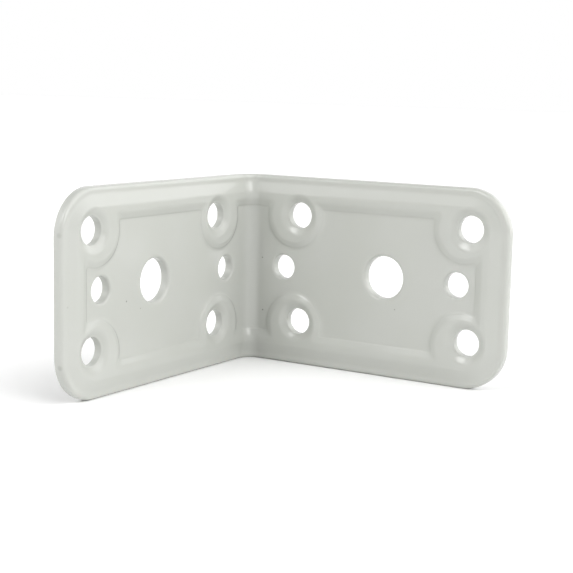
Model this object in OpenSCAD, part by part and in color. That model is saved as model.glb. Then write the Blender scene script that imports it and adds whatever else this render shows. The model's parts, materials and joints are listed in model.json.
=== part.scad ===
// Angle bracket folded from one painted steel sheet. A raised border is pressed round each
// leg and swells round the four corner holes, whose dimples seat countersunk screws.
// It stands on its long edges, with the outside of the bend at the far left corner.

/* [Sheet] */
// Length of each leg, measured from the outside of the bend
leg_len = 62; // [50:1:100]
// Width of the bracket, along the line of the bend
width = 40; // [34:1:70]
// Thickness of the sheet
sheet_t = 2; // [1:0.1:3]
// Radius on the inside of the bend
bend_r = 4; // [2:0.5:10]
// Radius of the rounded corners at the free ends
corner_r = 9; // [4:0.5:14]

/* [Raised border] */
// Height that the border is pressed out of the sheet, towards the inside of the bend
border_h = 1; // [0.3:0.1:1.5]
// Flat strip between the edge of the sheet and the foot of the border
strip_w = 1.8; // [0.5:0.1:3]
// Run of each of the border's sloping sides
slope_w = 1.7; // [0.8:0.1:2.5]
// Width of the border's flat top
crest_w = 1.6; // [0.6:0.1:3]

/* [Corner holes] */
// Diameter of the four holes near the corners of each leg
corner_hole_d = 5.4; // [3:0.1:6]
// Diameter of the dimple round each corner hole, at its rim on the inside face
dimple_d = 9.4; // [8:0.1:11]
// Depth of a dimple under the top of its ring
dimple_depth = 0.6; // [0.2:0.1:0.9]
// Flat ring between the rim of a dimple and the slope outside it
dimple_ring_w = 0.5; // [0.2:0.1:1.5]
// Flat at the bottom of a dimple, round the hole
dimple_floor_w = 0.2; // [0.1:0.1:0.5]
// Distance of the raised rings' centres from the long edges
ring_inset = 8.4; // [8:0.1:12]
// Distance that the holes lie from the rings, towards the free end, as punched
punch_shift = 1.1; // [-0.5:0.1:1.5]
// Distance of the corner holes' centres from the long edges
edge_inset = 8.7; // [7.5:0.1:12]
// Distance of the outer pair of corner holes from the free end
end_inset = 8.1; // [7.5:0.1:12]
// Flat between the bend and the foot of the slope round the inner pair
bend_gap = 0.7; // [0.2:0.1:6]

/* [Holes on the centre line] */
// Diameter of the small hole at each end of the centre line
small_hole_d = 5.1; // [3:0.1:6.5]
// Distance of the small hole near the bend from the inner pair, towards the bend
inner_small_step = 3.9; // [2:0.1:5]
// Distance of the small hole near the free end from the outer pair, towards the bend
outer_small_step = 2.7; // [0:0.1:4]
// Diameter of the large hole
large_hole_d = 8.7; // [5:0.1:12]
// Distance of the large hole from the middle between the pairs, towards the free end
large_hole_step = 0.6; // [-3:0.1:3]
// Radius of the edge that the punch rounds over on the inside face
punched_edge_r = 0.5; // [0.1:0.1:0.8]
// Height of all the holes over the middle of the width, as punched
hole_lift = 0.6; // [-0.6:0.1:0.6]

/* [Hidden] */
$fn = 96;
// How far cutting solids run past the faces that they cut
past = 1;
// Outside radius of the bend, which is also where the flat of a leg starts
bend_out_r = bend_r + sheet_t;
// Distances from the edge of the sheet to the lines where the border's section turns
crest_start = strip_w + slope_w;
crest_end = crest_start + crest_w;
panel_start = crest_end + slope_w;
// Radii of the raised ring round a corner hole, at its top and at its foot
ring_top_r = dimple_d / 2 + dimple_ring_w;
ring_foot_r = ring_top_r + slope_w;
// Places of the rings and of the holes along a leg
inner_ring_x = bend_out_r + bend_gap + ring_foot_r;
inner_pair_x = inner_ring_x + punch_shift;
outer_pair_x = leg_len - end_inset;
outer_ring_x = outer_pair_x - punch_shift;
small_hole_xs = [inner_pair_x - inner_small_step, outer_pair_x - outer_small_step];
large_hole_x = (inner_pair_x + outer_pair_x) / 2 + large_hole_step;
// Places of the holes across the width
centre_line = width / 2 + hole_lift;
corner_ys = [edge_inset + hole_lift, width - edge_inset + hole_lift];
paint = [0.83, 0.83, 0.8];

// Points of one face of the section across the width, at a level over the outer face
function section_line(level) = [
    [0, level],
    [strip_w, level],
    [crest_start, level + border_h],
    [crest_end, level + border_h],
    [panel_start, level],
    [width - panel_start, level],
    [width - crest_end, level + border_h],
    [width - crest_start, level + border_h],
    [width - strip_w, level],
    [width, level]
];
function backwards(points) = [for (i = [len(points) - 1 : -1 : 0]) points[i]];

// A bar along the leg whose section lies across the width
module along_leg(from, to)
    translate([from, 0, 0])
        rotate([90, 0, 90])
            linear_extrude(to - from) children();

// A bar across the width whose section lies along the leg
module across_leg(from, to)
    translate([0, to, 0])
        rotate([90, 0, 0])
            linear_extrude(to - from) children();

module at_corner_holes()
    for (x = [inner_pair_x, outer_pair_x], y = corner_ys)
        translate([x, y, 0]) children();

// Outline of the flat of a leg, as tall as is needed to cut with
module leg_blank(low, high)
    translate([0, 0, low])
        linear_extrude(high - low) {
            translate([bend_out_r, 0]) square([leg_len - corner_r - bend_out_r, width]);
            translate([bend_out_r, corner_r]) square([leg_len - bend_out_r, width - 2 * corner_r]);
            for (y = [corner_r, width - corner_r])
                translate([leg_len - corner_r, y]) circle(corner_r);
        }

// Everything inside the foot of the border's outer slope, up to the border's top
module border_hill(level) {
    top = level + border_h;
    bottom = level - past;
    along_leg(bend_out_r - past, leg_len - corner_r)
        polygon([
            [strip_w, bottom], [strip_w, level], [crest_start, top],
            [width - crest_start, top], [width - strip_w, level], [width - strip_w, bottom]
        ]);
    across_leg(corner_r, width - corner_r)
        polygon([
            [bend_out_r, bottom], [bend_out_r, top],
            [leg_len - crest_start, top], [leg_len - strip_w, level], [leg_len - strip_w, bottom]
        ]);
    for (y = [corner_r, width - corner_r])
        translate([leg_len - corner_r, y, 0]) {
            translate([0, 0, level])
                cylinder(h = border_h, r1 = corner_r - strip_w, r2 = corner_r - crest_start);
            translate([0, 0, bottom])
                cylinder(h = past, r = corner_r - strip_w);
        }
}

// The raised ring round a corner hole, with neither its dimple nor its hole
module ring_hill(level) {
    translate([0, 0, level])
        cylinder(h = border_h + past, r1 = ring_foot_r, r2 = ring_foot_r - slope_w * (border_h + past) / border_h);
    translate([0, 0, level - 2 * past])
        cylinder(h = 2 * past, r = ring_foot_r);
}

// The space over the flat panel in the middle of a leg, down past its surface
module panel_space(level) {
    top = level + border_h + past;
    bottom = level - 2 * past;
    spread = slope_w * (border_h + past) / border_h;
    difference() {
        intersection() {
            along_leg(bend_out_r - 2 * past, leg_len)
                polygon([
                    [panel_start, bottom], [panel_start, level], [panel_start - spread, top],
                    [width - panel_start + spread, top], [width - panel_start, level],
                    [width - panel_start, bottom]
                ]);
            across_leg(0, width)
                polygon([
                    [bend_out_r - 2 * past, bottom], [bend_out_r - 2 * past, top],
                    [leg_len - panel_start + spread, top], [leg_len - panel_start, level],
                    [leg_len - panel_start, bottom]
                ]);
        }
        for (x = [inner_ring_x, outer_ring_x], y = [ring_inset, width - ring_inset])
            translate([x, y, 0]) ring_hill(level);
    }
}

// The space in the dimple round a corner hole, which is coined into the inside face only
module dimple_space() {
    floor_r = corner_hole_d / 2 + dimple_floor_w;
    rim_r = dimple_d / 2;
    spread = (rim_r - floor_r) * past / dimple_depth;
    translate([0, 0, sheet_t + border_h - dimple_depth])
        cylinder(h = dimple_depth + past, r1 = floor_r, r2 = rim_r + spread);
}

// Everything under one face of a leg, for a face whose flat parts lie at a level
module under_face(level)
    union() {
        translate([bend_out_r - past, -past, -3 * past])
            cube([leg_len - bend_out_r + 2 * past, width + 2 * past, 3 * past + level]);
        difference() {
            border_hill(level);
            panel_space(level);
        }
    }

module hole(d)
    translate([0, 0, -past])
        cylinder(h = sheet_t + border_h + 2 * past, d = d);

// A hole through the flat panel, with the rounded edge that the punch leaves
module punched_hole(d) {
    edge_start = sheet_t - punched_edge_r;
    hole(d);
    rotate_extrude()
        difference() {
            translate([0, edge_start]) square([d / 2 + punched_edge_r, punched_edge_r + past]);
            translate([d / 2 + punched_edge_r, edge_start]) circle(punched_edge_r);
        }
}

// One leg lying flat, with the outside of the bracket down
module flat_leg()
    difference() {
        intersection() {
            under_face(sheet_t);
            leg_blank(0, sheet_t + border_h + past);
        }
        under_face(0);
        at_corner_holes() {
            dimple_space();
            hole(corner_hole_d);
        }
        for (x = small_hole_xs) translate([x, centre_line, 0]) punched_hole(small_hole_d);
        translate([large_hole_x, centre_line, 0]) punched_hole(large_hole_d);
    }

// The quarter turn between the legs, with the section that both legs start with
module bend()
    translate([bend_out_r, -bend_out_r, 0])
        rotate([0, 0, 90])
            rotate_extrude(angle = 90)
                polygon([
                    for (p = concat(section_line(0), backwards(section_line(sheet_t))))
                        [bend_out_r - p[1], p[0]]
                ]);

module bracket()
    color(paint)
        translate([-leg_len / 2, leg_len / 2, 0]) {
            rotate([90, 0, 0]) flat_leg();
            mirror([1, 1, 0]) rotate([90, 0, 0]) flat_leg();
            bend();
        }

bracket();
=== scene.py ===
import json
import math

import bmesh
import bpy
import numpy as np
from mathutils import Matrix, Vector


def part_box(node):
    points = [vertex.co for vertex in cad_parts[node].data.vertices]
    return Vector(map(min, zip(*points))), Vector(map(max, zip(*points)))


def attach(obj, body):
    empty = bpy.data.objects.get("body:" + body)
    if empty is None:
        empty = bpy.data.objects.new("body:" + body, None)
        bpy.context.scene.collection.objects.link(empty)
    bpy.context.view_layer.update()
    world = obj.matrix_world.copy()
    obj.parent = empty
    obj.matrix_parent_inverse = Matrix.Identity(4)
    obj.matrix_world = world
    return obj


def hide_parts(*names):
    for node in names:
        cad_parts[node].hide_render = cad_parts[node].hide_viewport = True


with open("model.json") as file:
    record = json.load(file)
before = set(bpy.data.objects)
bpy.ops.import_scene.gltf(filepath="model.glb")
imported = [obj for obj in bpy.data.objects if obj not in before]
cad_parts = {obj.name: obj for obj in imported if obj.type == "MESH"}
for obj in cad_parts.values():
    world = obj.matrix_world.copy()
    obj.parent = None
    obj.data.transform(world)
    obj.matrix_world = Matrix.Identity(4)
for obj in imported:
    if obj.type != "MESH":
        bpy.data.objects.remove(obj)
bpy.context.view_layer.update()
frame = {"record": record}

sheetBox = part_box("bracket")
mm = 0.001
rounding = 1e-6                # share of a step that is too small to count
mounts = {mount["name"]: mount for mount in frame["record"]["mounts"]}
print("frame loaded")


# Helpers for surfaces

def lineOf(start, end, step):
    # Evenly spaced values from start to end, no more than a step apart
    return np.linspace(start, end, int(math.ceil((end - start) / step - rounding)) + 1)


def joined(lines):
    # One line from several, each of which starts where the last one ends
    return np.concatenate([lines[0]] + [line[1:] for line in lines[1:]])


def smoothMin(a, b, reach):
    # The smaller of a and b, less (reach - |a - b|)^2 / (4 reach) where they are closer than reach
    near = np.clip(reach - np.abs(a - b), 0, None)
    return np.minimum(a, b) - near ** 2 / (4 * reach)


def pieceFromSurfaces(name, surfaces, weld):
    # A surface is a grid of points. Four neighbours make a face, and borders that meet are welded
    points, faces, first = [], [], 0
    for surface in surfaces:
        rows, columns = surface.shape[:2]
        index = first + np.arange(rows * columns).reshape(rows, columns)
        around = [index[:-1, :-1], index[1:, :-1], index[1:, 1:], index[:-1, 1:]]
        faces.append(np.stack(around, axis=-1).reshape(-1, 4))
        points.append(surface.reshape(-1, 3))
        first += rows * columns
    mesh = bpy.data.meshes.new(name)
    mesh.from_pydata(np.concatenate(points), [], np.concatenate(faces))
    work = bmesh.new()
    work.from_mesh(mesh)
    bmesh.ops.remove_doubles(work, verts=work.verts, dist=weld)
    bmesh.ops.recalc_face_normals(work, faces=work.faces)
    openEdges = sum(not edge.is_manifold for edge in work.edges)
    work.to_mesh(mesh)
    work.free()
    mesh.shade_smooth()
    piece = bpy.data.objects.new(name, mesh)
    bpy.context.scene.collection.objects.link(piece)
    print(f"{name}: {len(mesh.vertices)} points, {len(mesh.polygons)} faces, {openEdges} open edges")
    return piece


# The painted sheet, in millimetres. On a leg, u runs from the outside of the bend to the free end,
# w runs across the width, and level is the height over the outside face. Each leg has half the bend

sheet = {
    "legLength": (sheetBox[1][0] - sheetBox[0][0]) / mm,
    "width": (sheetBox[1][2] - sheetBox[0][2]) / mm,
    "thickness": 2.0,
    "bendRadius": 5.0,         # outside of the bend
    "cornerRadius": 9.0,       # free ends
    "edgeRounding": 0.75,      # outline, rolled over on the inside face
    "backRounding": 0.14,      # edges of the outside face
    "roundingSteps": 6,
    "step": 0.46,              # grid over the pressed parts
    "plainStep": 0.9,          # grid along the middle of a leg
    "circleStep": 0.26,        # circles in a dimple
    "spokeStretch": 1.2,       # steps from the last circle to the edge of a cell, in shares of step
    "bandWidth": 3.4,          # part of the grid that follows the outline
    "cellHalf": 5.8,           # cell round a hole
    "weld": 0.001,
}
pressing = {
    "height": 0.7,
    "strip": 1.5,              # flat strip outside the border
    "outerSlope": 2.3,
    "crest": 1.3,
    "slope": 1.7,              # towards the panel and round a ring
    "ringFoot": 6.9,           # radii of a ring at its foot and of the dimple in it
    "dimpleRim": 4.45,
    "dimpleDepth": 0.9,        # at the edge of a hole, on the inside face
    "backDimpleDepth": 0.4,    # and on the outside face
    "dimpleCurve": 1.4,        # 1 is a cone, and more sinks most near the hole
    "dimpleEnd": 1.3,          # where it stops sinking, in shares of the way from its rim to the hole
    "ringInset": 8.4,          # rings from the long edges
    "punchShift": 1.1,         # holes from the rings, towards the free end
    "melt": 1.1,               # how far the border and the rings run into each other
    "softness": 0.24,          # radius of the disc that rounds the creases
    # Rings of points on that disc, as (share of its radius, number of points, weight of each)
    "discRings": [(0.5, 6, 1.0), (1.0, 12, 0.6)],
}
holeRolls = {"corner": 0.3, "small": 0.5, "large": 0.65}   # punched over on the inside face
panelStart = sum(pressing[key] for key in ("strip", "outerSlope", "crest", "slope"))
halfBend = sheet["bendRadius"] * math.pi / 4
bendMiddle = sheet["bendRadius"] - halfBend


def holesOf(name, radiusKey, roll):
    # A mount's holes lie half a spacing to each side of its middle, as (u, w, radius, roll)
    mount = mounts[name]
    u = mount["pos_m"][0] / mm + sheet["legLength"] / 2
    w = mount["pos_m"][2] / mm
    halfU, halfW = (mount["dims"].get(key, 0) / 2 for key in ("spacing_x_mm", "spacing_y_mm"))
    radius = mount["dims"][radiusKey]
    return sorted({(u + i * halfU, w + j * halfW, radius, roll) for i in (-1, 1) for j in (-1, 1)})


cornerHoles = holesOf("back_leg_corner_holes", "hole_r_mm", holeRolls["corner"])
smallHoles = holesOf("back_leg_small_holes", "hole_r_mm", holeRolls["small"])
largeHoles = holesOf("back_leg_large_hole", "r_mm", holeRolls["large"])
allHoles = cornerHoles + smallHoles + largeHoles


def outlineDistance(u, w):
    # Distance in from the outline: straight sides, and arcs of cornerRadius at the free end
    radius = sheet["cornerRadius"]
    side = np.minimum(w, sheet["width"] - w)
    end = sheet["legLength"] - u
    arc = radius - np.hypot(np.clip(radius - side, 0, None), np.clip(radius - end, 0, None))
    return np.where((side < radius) & (end < radius), arc, np.minimum(side, end))


def creasedHeight(u, w, inside):
    # The border rises from the strip, and falls again towards the panel or away from a ring. In a
    # ring, a dimple sinks by its depth times a power of how far in from its rim a point lies. The
    # lowest of the three holds
    p = pressing
    depth = p["dimpleDepth"] if inside else p["backDimpleDepth"]
    side = np.minimum(w, sheet["width"] - w)
    rise = (outlineDistance(u, w) - p["strip"]) / p["outerSlope"]
    toPanel = np.minimum(side, sheet["legLength"] - u) - panelStart
    dimple = np.ones_like(u)
    for hole in cornerHoles:
        fromRing = np.hypot(u - hole[0] + p["punchShift"], side - p["ringInset"])
        toPanel = smoothMin(toPanel, fromRing - p["ringFoot"], p["melt"])
        inward = p["dimpleRim"] - np.hypot(u - hole[0], w - hole[1])
        inward = np.clip(inward / (p["dimpleRim"] - hole[2]), 0, p["dimpleEnd"])
        dimple = np.minimum(dimple, 1 - depth / p["height"] * inward ** p["dimpleCurve"])
    border = np.clip(np.minimum(rise, -toPanel / p["slope"]), 0, 1)
    return p["height"] * np.minimum(border, dimple)


def pressedHeight(u, w, inside):
    # Weighted mean of the creased height over a disc: its centre, and rings of points round it
    total, weight = creasedHeight(u, w, inside), 1.0
    for share, count, each in pressing["discRings"]:
        reach = share * pressing["softness"]
        for turn in np.arange(count) * 2 * math.pi / count:
            nearU, nearW = u + reach * math.cos(turn), w + reach * math.sin(turn)
            total = total + each * creasedHeight(nearU, nearW, inside)
        weight += count * each
    return total / weight


def fold(u, w, level, side):
    # Past the bend a leg is straight. In the bend a point lies at radius bendRadius - level, turned
    # from the middle by an eighth of a turn for each halfBend of length. side is 1 on the back leg
    # and -1 on the left leg
    middle = sheet["legLength"] / 2
    along = u - bendMiddle
    beyond = np.clip(along - halfBend, 0, None)
    angle = math.pi / 4 * (1 + side * np.clip(along / halfBend, 0, 1))
    radius = sheet["bendRadius"] - level
    x = sheet["bendRadius"] - middle - radius * np.cos(angle) + (beyond if side > 0 else 0)
    y = middle - sheet["bendRadius"] + radius * np.sin(angle) - (beyond if side < 0 else 0)
    return np.stack([x, y, w + 0 * x], axis=-1) * mm


def levelOf(u, w, inside):
    # The inside face lies a thickness over the outside face, and both follow the pressing
    return pressedHeight(u, w, inside) + (sheet["thickness"] if inside else 0)


def faceOf(u, w, side, inside):
    # One face of a leg: the pressed level, folded round the bend
    return fold(u, w, levelOf(u, w, inside), side)


def cutEdge(u, w, inU, inW, side, roll, backRoll):
    # Carries the edge's profile along the path (u, w), whose way into the sheet is (inU, inW): a
    # quarter circle from the inside face to the cut, the cut, and a quarter circle to the outside
    quarter = np.linspace(0, math.pi / 2, sheet["roundingSteps"] + 1)[:, None]
    bulge, drop = 1 - np.sin(quarter), 1 - np.cos(quarter)
    insideLevel = levelOf(u + roll * inU, w + roll * inW, True)
    outsideLevel = levelOf(u + backRoll * inU, w + backRoll * inW, False)
    level = np.concatenate([insideLevel - roll * drop, outsideLevel + backRoll * drop[::-1]])
    inward = np.concatenate([roll * bulge, backRoll * bulge[::-1]])
    return fold(u + inward * inU, w + inward * inW, level, side)


def plainCell(us, ws, side):
    # Both faces over a grid of straight lines
    u, w = np.meshgrid(us, ws, indexing="ij")
    return [faceOf(u, w, side, inside) for inside in (True, False)]


def holeCell(hole, us, ws, side):
    # Spokes run from the hole's rim to the edge of its cell. Their first points lie on circles, and
    # the others share the rest of the spoke evenly
    loopU = np.concatenate([us, np.full(len(ws) - 2, us[-1]), us[::-1], np.full(len(ws) - 1, us[0])])
    loopW = np.concatenate([np.full(len(us), ws[0]), ws[1:-1], np.full(len(us), ws[-1]), ws[-2::-1]])
    spoke = np.hypot(loopU - hole[0], loopW - hole[1])
    outU, outW = (loopU - hole[0]) / spoke, (loopW - hole[1]) / spoke
    rimU, rimW = hole[0] + hole[2] * outU, hole[1] + hole[2] * outW
    surfaces = [cutEdge(rimU, rimW, outU, outW, side, hole[3], sheet["backRounding"])]
    for inside, roll in ((True, hole[3]), (False, sheet["backRounding"])):
        rim = hole[2] + roll
        circles = lineOf(rim, max(rim, pressing["dimpleRim"]), sheet["circleStep"])[:, None]
        spokeStep = sheet["spokeStretch"] * sheet["step"]
        share = lineOf(0, 1, spokeStep / (spoke.max() - circles[-1, 0]))[1:, None]
        radius = np.concatenate([circles + 0 * spoke, circles[-1] + share * (spoke - circles[-1])])
        surfaces.append(faceOf(hole[0] + radius * outU, hole[1] + radius * outW, side, inside))
    return surfaces


def outlineBand(us, ws, side):
    # Joins the outline to the edge of the cells, from the lower side round the free end to the upper
    # side. Each arc turns a quarter while the edge of the cells goes round its corner
    radius, arcStart = sheet["cornerRadius"], sheet["legLength"] - sheet["cornerRadius"]
    innerU = np.concatenate([us, np.full(len(ws) - 2, us[-1]), us[::-1]])
    innerW = np.concatenate([np.full(len(us), ws[0]), ws[1:-1], np.full(len(us), ws[-1])])
    run = np.concatenate([[0], np.cumsum(np.hypot(np.diff(innerU), np.diff(innerW)))])
    corner = us[-1] - arcStart + radius - ws[0]
    marks = np.cumsum([arcStart - us[0], corner, sheet["width"] - 2 * radius, corner])
    turn = np.interp(run, marks, [0, math.pi / 2, math.pi / 2, math.pi])
    inU, inW = -np.sin(turn), np.cos(turn)
    pathU = np.minimum(innerU, arcStart) - radius * inU
    pathW = np.clip(innerW, radius, sheet["width"] - radius) - radius * inW
    share = lineOf(0, 1, sheet["step"] / sheet["bandWidth"])[:, None]
    rolls = (sheet["edgeRounding"], sheet["backRounding"])
    surfaces = [cutEdge(pathU, pathW, inU, inW, side, *rolls)]
    for inside, roll in zip((True, False), rolls):
        startU, startW = pathU + roll * inU, pathW + roll * inW
        bandU, bandW = startU + share * (innerU - startU), startW + share * (innerW - startW)
        surfaces.append(faceOf(bandU, bandW, side, inside))
    return surfaces


def legSurfaces(side):
    # Cells of a grid, with one column for each group of holes, and the band round them
    half, step, plainStep = sheet["cellHalf"], sheet["step"], sheet["plainStep"]
    largeU, centreW = largeHoles[0][:2]
    uMarks = [bendMiddle, sheet["bendRadius"], cornerHoles[0][0] + half, largeU - half, largeU + half,
              smallHoles[-1][0] - half, sheet["legLength"] - sheet["bandWidth"]]
    uSteps = [step, step, plainStep, plainStep, plainStep, step]
    wMarks = [sheet["bandWidth"], centreW - half, centreW + half, sheet["width"] - sheet["bandWidth"]]
    columns = [lineOf(*ends) for ends in zip(uMarks[:-1], uMarks[1:], uSteps)]
    rows = [lineOf(start, end, step) for start, end in zip(wMarks[:-1], wMarks[1:])]
    surfaces = []
    for us in columns:
        for ws in rows:
            inside = [h for h in allHoles if us[0] < h[0] < us[-1] and ws[0] < h[1] < ws[-1]]
            surfaces += holeCell(inside[0], us, ws, side) if inside else plainCell(us, ws, side)
    return surfaces + outlineBand(joined(columns), joined(rows), side)


paintedSheet = pieceFromSurfaces("painted_sheet", legSurfaces(1) + legSurfaces(-1), sheet["weld"] * mm)
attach(paintedSheet, "root")
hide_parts("bracket")
print("sheet made")


# Gloss paint, sprayed and baked. Sizes are in millimetres, and a noise is (size, detail)

paint = {
    "colour": (0.461, 0.470, 0.441, 1.0),
    "thinColour": (0.456, 0.466, 0.434, 1.0),
    "patchNoise": (14.0, 3),   # drifts of tone
    "patchRange": (0.35, 0.65),
    "roughness": (0.13, 0.17),
    "peelNoise": (1.6, 1),     # orange peel
    "peelDepth": 0.012,
    "grainNoise": (0.35, 2),   # dust under the paint
    "grainDepth": 0.004,
    "creaseReach": (-0.45, -0.1),   # step that the press leaves, from the panel's outline inwards
    "creaseDepth": 0.07,
    "speckColour": (0.17, 0.17, 0.15, 1.0),
    "speckCore": 0.3,          # share of a speck's radius that is at full strength
    # As (side, u, w, level, radius, strength). The last two are rubbed spots on the cut edge
    "specks": [
        (1, 5.4, 22.2, 2.0, 0.22, 0.8),
        (1, 5.7, 10.8, 2.0, 0.26, 0.8),
        (1, 37.8, 14.3, 2.0, 0.2, 0.6),
        (-1, 43.8, 17.5, 2.0, 0.26, 0.7),
        (-1, 39.5, 15.6, 2.0, 0.2, 0.5),
        (-1, 60.5, 18.5, 2.0, 0.3, 0.2),
        (-1, 61.8, 31.6, 1.3, 0.7, 0.2),
        (-1, 61.8, 7.4, 1.3, 0.7, 0.25),
    ],
}


def noiseOf(tree, place, size, detail):
    noise = tree.nodes.new("ShaderNodeTexNoise")
    noise.inputs["Scale"].default_value = 1 / (size * mm)
    noise.inputs["Detail"].default_value = detail
    tree.links.new(place, noise.inputs["Vector"])
    return noise.outputs["Fac"]


def spreadOf(tree, value, fromRange, toRange):
    # Carries a value from one range to another, with soft ends
    spread = tree.nodes.new("ShaderNodeMapRange")
    spread.interpolation_type = "SMOOTHSTEP"
    tree.links.new(value, spread.inputs["Value"])
    for ends, name in ((fromRange, "From"), (toRange, "To")):
        spread.inputs[name + " Min"].default_value, spread.inputs[name + " Max"].default_value = ends
    return spread.outputs["Result"]


def bumpOf(tree, height, depth, under):
    # under is the normal that the bump is laid over, or None
    bump = tree.nodes.new("ShaderNodeBump")
    bump.inputs["Distance"].default_value = depth * mm
    tree.links.new(height, bump.inputs["Height"])
    if under:
        tree.links.new(under, bump.inputs["Normal"])
    return bump.outputs["Normal"]


def blendOf(tree, share, first, second):
    # first and second are colours, or sockets that give one. The node's inputs 6 and 7 and its
    # output 2 are the ones for colours
    blend = tree.nodes.new("ShaderNodeMix")
    blend.data_type = "RGBA"
    tree.links.new(share, blend.inputs["Factor"])
    for source, socket in ((first, blend.inputs[6]), (second, blend.inputs[7])):
        if isinstance(source, tuple):
            socket.default_value = source
        else:
            tree.links.new(source, socket)
    return blend.outputs[2]


def mathOf(tree, operation, *values):
    # values are numbers, or sockets that give one
    node = tree.nodes.new("ShaderNodeMath")
    node.operation = operation
    for value, socket in zip(values, node.inputs):
        if isinstance(value, (int, float)):
            socket.default_value = value
        else:
            tree.links.new(value, socket)
    return node.outputs["Value"]


def measureOf(tree, operation, place, target):
    # The distance of a place from a fixed target, or its dot product with one
    node = tree.nodes.new("ShaderNodeVectorMath")
    node.operation = operation
    node.inputs[1].default_value = target
    tree.links.new(place, node.inputs[0])
    return node.outputs["Value"]


def panelStep(tree, place):
    # 1 on the panel and 0 outside it. Its distance in from the panel's outline is the smooth minimum
    # of that to the straight sides, min(z, width - z, legLength - u) - panelStart, and of that to
    # each ring, hypot(u - ringU, min(z, width - z) - ringInset) - ringFoot. u is max(x, -y), and
    # half of legLength more
    split = tree.nodes.new("ShaderNodeSeparateXYZ")
    tree.links.new(place, split.inputs["Vector"])
    x, y, z = split.outputs
    fromMiddle = mathOf(tree, "MAXIMUM", x, mathOf(tree, "MULTIPLY", y, -1.0))
    toEnd = mathOf(tree, "SUBTRACT", sheet["legLength"] / 2 * mm, fromMiddle)
    toSide = mathOf(tree, "MINIMUM", z, mathOf(tree, "SUBTRACT", sheet["width"] * mm, z))
    inward = mathOf(tree, "SUBTRACT", mathOf(tree, "MINIMUM", toSide, toEnd), panelStart * mm)
    ringW = mathOf(tree, "SUBTRACT", toSide, pressing["ringInset"] * mm)
    for hole in (cornerHoles[0], cornerHoles[-1]):
        ringPlace = (hole[0] - pressing["punchShift"] - sheet["legLength"] / 2) * mm
        ringU = mathOf(tree, "SUBTRACT", fromMiddle, ringPlace)
        squares = [mathOf(tree, "MULTIPLY", part, part) for part in (ringU, ringW)]
        distance = mathOf(tree, "SQRT", mathOf(tree, "ADD", *squares))
        fromRing = mathOf(tree, "SUBTRACT", distance, pressing["ringFoot"] * mm)
        inward = mathOf(tree, "SMOOTH_MIN", inward, fromRing, pressing["melt"] * mm)
    return spreadOf(tree, inward, [end * mm for end in paint["creaseReach"]], (0, 1))


def speckShare(tree, place):
    # The largest share that a speck has of a point: its strength at its middle, 0 past its radius
    share = 0.0
    for side, u, w, level, radius, strength in paint["specks"]:
        distance = measureOf(tree, "DISTANCE", place, fold(u, w, level, side))
        reach = (paint["speckCore"] * radius * mm, radius * mm)
        share = mathOf(tree, "MAXIMUM", share, spreadOf(tree, distance, reach, (strength, 0)))
    return share


def paintMaterial():
    material = bpy.data.materials.new("offWhitePaint")
    material.use_nodes = True
    tree = material.node_tree
    shader = tree.nodes["Principled BSDF"]
    place = tree.nodes.new("ShaderNodeTexCoord").outputs["Object"]
    patches = spreadOf(tree, noiseOf(tree, place, *paint["patchNoise"]), paint["patchRange"], (0, 1))
    colour = blendOf(tree, patches, paint["colour"], paint["thinColour"])
    colour = blendOf(tree, speckShare(tree, place), colour, paint["speckColour"])
    tree.links.new(colour, shader.inputs["Base Color"])
    tree.links.new(spreadOf(tree, patches, (0, 1), paint["roughness"]), shader.inputs["Roughness"])
    peel = bumpOf(tree, noiseOf(tree, place, *paint["peelNoise"]), paint["peelDepth"], None)
    grain = bumpOf(tree, noiseOf(tree, place, *paint["grainNoise"]), paint["grainDepth"], peel)
    crease = bumpOf(tree, panelStep(tree, place), -paint["creaseDepth"], grain)
    tree.links.new(crease, shader.inputs["Normal"])
    return material


paintedSheet.data.materials.append(paintMaterial())
print("paint made")


# Studio: pale floor, soft light, and the camera of the photograph

studio = {
    "floorHalf": 3.0,
    "floorColour": (0.95, 0.95, 0.95, 1.0),
    "floorRoughness": 0.9,
    # Soft boxes far off, as (degrees from +X towards +Y, degrees up, half width, strength)
    "softBoxes": [
        (-104, 44, 20, 5.9),
        (-20, 25, 20, 3.0),
        (0, 45, 42, 2.7),
        (-120, 30, 20, 0.9),
        (60, 15, 42, 2.0),
        (-150, 15, 42, 1.4),
        (122, 15, 42, 0.8),
    ],
    "softCore": 0.2,           # share of a box's half width that is at full strength
    "ambient": 0.22,
}


def makeFloor():
    half = studio["floorHalf"]
    corners = [(-half, -half, 0), (half, -half, 0), (half, half, 0), (-half, half, 0)]
    mesh = bpy.data.meshes.new("floor")
    mesh.from_pydata(corners, [], [(0, 1, 2, 3)])
    material = bpy.data.materials.new("paleFloor")
    material.use_nodes = True
    shader = material.node_tree.nodes["Principled BSDF"]
    shader.inputs["Base Color"].default_value = studio["floorColour"]
    shader.inputs["Roughness"].default_value = studio["floorRoughness"]
    mesh.materials.append(material)
    piece = bpy.data.objects.new("floor", mesh)
    bpy.context.scene.collection.objects.link(piece)
    return piece


floor = makeFloor()


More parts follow.
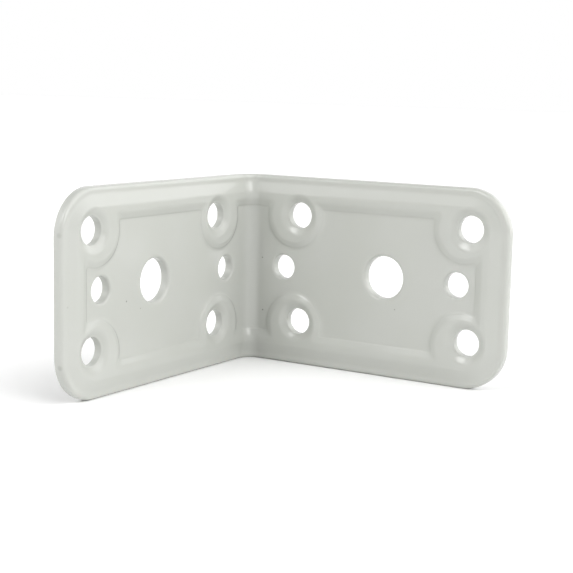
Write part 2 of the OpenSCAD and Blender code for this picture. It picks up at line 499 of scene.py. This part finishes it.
def softBoxSky(tree):
    # Each soft box adds its strength where a direction lies within its half width of its middle, and
    # fades from its core outwards. The backdrop that the camera sees is plain white
    direction = tree.nodes.new("ShaderNodeTexCoord").outputs["Generated"]
    total = studio["ambient"]
    for azimuth, elevation, halfWidth, strength in studio["softBoxes"]:
        turn, rise, width = (math.radians(angle) for angle in (azimuth, elevation, halfWidth))
        out = math.cos(rise)
        middle = (math.cos(turn) * out, math.sin(turn) * out, math.sin(rise))
        closeness = measureOf(tree, "DOT_PRODUCT", direction, middle)
        limits = (math.cos(width), math.cos(width * studio["softCore"]))
        total = mathOf(tree, "ADD", spreadOf(tree, closeness, limits, (0, strength)), total)
    light = tree.nodes["Background"]
    tree.links.new(total, light.inputs["Strength"])
    backdrop = tree.nodes.new("ShaderNodeBackground")
    seen = tree.nodes.new("ShaderNodeLightPath").outputs["Is Camera Ray"]
    either = tree.nodes.new("ShaderNodeMixShader")
    for source, socket in zip((seen, light.outputs[0], backdrop.outputs[0]), either.inputs):
        tree.links.new(source, socket)
    tree.links.new(either.outputs[0], tree.nodes["World Output"].inputs["Surface"])
    for shader in (light, backdrop):
        shader.inputs["Color"].default_value = (1, 1, 1, 1)


world = bpy.data.worlds.new("studioSky")
bpy.context.scene.world = world
world.use_nodes = True
softBoxSky(world.node_tree)

camera = {
    "place": (0.13028, -0.20798, 0.05928),
    "yaw": 32.263,             # degrees to the left of +Y
    "pitch": 8.688,            # degrees downwards
    "roll": 1.247,
    "lens": 83.37,
    "sensor": 36.0,
    "clipStart": 0.01,
}


def cameraTurn(yaw, pitch, roll):
    # Columns of the camera's own axes: right and up are turned by roll round the line of sight
    forward = Vector((-math.sin(yaw) * math.cos(pitch), math.cos(yaw) * math.cos(pitch), -math.sin(pitch)))
    level = Vector((math.cos(yaw), math.sin(yaw), 0))
    upright = level.cross(forward)
    right = level * math.cos(roll) + upright * math.sin(roll)
    up = upright * math.cos(roll) - level * math.sin(roll)
    return Matrix((right, up, -forward)).transposed().to_4x4()


cameraData = bpy.data.cameras.new("camera")
cameraData.lens, cameraData.sensor_width = camera["lens"], camera["sensor"]
cameraData.clip_start = camera["clipStart"]
cameraObject = bpy.data.objects.new("camera", cameraData)
bpy.context.scene.collection.objects.link(cameraObject)
turn = cameraTurn(*(math.radians(camera[key]) for key in ("yaw", "pitch", "roll")))
cameraObject.matrix_world = Matrix.Translation(camera["place"]) @ turn
bpy.context.scene.camera = cameraObject
bpy.context.scene.view_settings.view_transform = "Standard"
print("studio ready")
